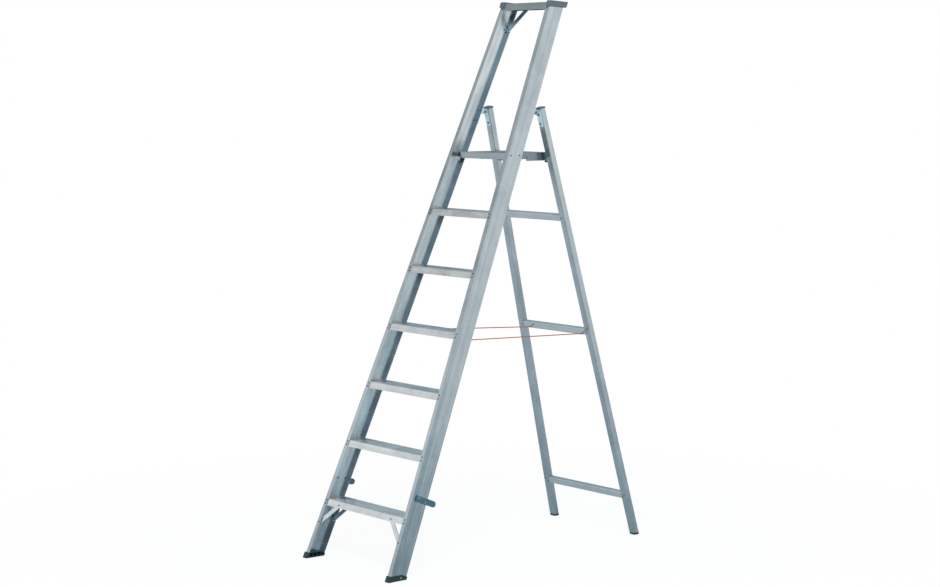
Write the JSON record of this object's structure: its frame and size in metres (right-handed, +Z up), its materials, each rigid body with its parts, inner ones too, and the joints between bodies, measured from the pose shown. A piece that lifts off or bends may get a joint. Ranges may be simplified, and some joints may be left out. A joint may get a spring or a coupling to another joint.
{
  "type": "step ladder",
  "caption": "Folding aluminium step ladder with grooved treads, a tilting platform below a hand bar, a hinged support frame, plastic feet and orange safety cords.",
  "frame": {"origin": "middle of the footprint of the open ladder, on the floor", "axes": "+Z up, the climbing side faces -Y, +X to the right of someone facing the climbing side"},
  "size_m": [0.5812, 1.3718, 2.2719],
  "materials": {
    "aluminium": "mill finish, drawn",
    "rivet": "set rivet, dull",
    "zinc_steel": "bright zinc plate",
    "grey_plastic": "moulded",
    "black_plastic": "moulded",
    "blue_grey_plastic": "moulded",
    "cord": "braided cord"
  },
  "bodies": {
    "front_frame": {"brace_rivets": "rivet", "bracket_rivets": "rivet", "cord_left": "cord", "cord_right": "cord", "guide_tab_left": "blue_grey_plastic", "guide_tab_right": "blue_grey_plastic", "hinge_pin_left": "zinc_steel", "hinge_pin_right": "zinc_steel", "hinge_stile_bracket_left": "zinc_steel", "hinge_stile_bracket_right": "zinc_steel", "hinge_stile_rivets": "rivet", "low_brace_front_left": "aluminium", "low_brace_front_right": "aluminium", "low_brace_rear_left": "aluminium", "low_brace_rear_right": "aluminium", "platform_bracket_left": "zinc_steel", "platform_bracket_right": "zinc_steel", "platform_pin_left": "zinc_steel", "platform_pin_right": "zinc_steel", "shoe_left": "black_plastic", "shoe_right": "black_plastic", "shoe_rivets": "rivet", "step_1": "aluminium", "step_2": "aluminium", "step_3": "aluminium", "step_4": "aluminium", "step_5": "aluminium", "step_6": "aluminium", "step_rivets": "rivet", "stile_left": "aluminium", "stile_right": "aluminium", "tab_rivets": "rivet", "top_bar": "aluminium", "top_brace_left": "aluminium", "top_brace_right": "aluminium", "top_cap_left": "grey_plastic", "top_cap_right": "grey_plastic"},
    "rear_frame": {"crossbar_lower": "aluminium", "crossbar_middle": "aluminium", "crossbar_rivets": "rivet", "crossbar_upper": "aluminium", "foot_plug_left": "black_plastic", "foot_plug_right": "black_plastic", "hinge_leg_bolts": "zinc_steel", "hinge_leg_bracket_left": "zinc_steel", "hinge_leg_bracket_right": "zinc_steel", "leg_cap_left": "grey_plastic", "leg_cap_right": "grey_plastic", "rear_leg_left": "aluminium", "rear_leg_right": "aluminium", "rest_bolts": "zinc_steel", "rest_sleeve_left": "black_plastic", "rest_sleeve_right": "black_plastic"},
    "platform": {"deck_rivets": "rivet", "platform_bush_left": "black_plastic", "platform_bush_right": "black_plastic", "platform_deck": "aluminium"}
  },
  "joints": [
    {"name": "rear_fold", "type": "hinge", "parent": "front_frame", "child": "rear_frame", "pos_m": [0, 0.17941, 1.812], "axis": [-1, 0, 0], "range_deg": [0, 37], "deforming": ["cord_left", "cord_right"]},
    {"name": "platform_tilt", "type": "hinge", "parent": "front_frame", "child": "platform", "pos_m": [0, 0.0413, 1.6355], "axis": [1, 0, 0], "range_deg": [0, 67]}
  ]
}
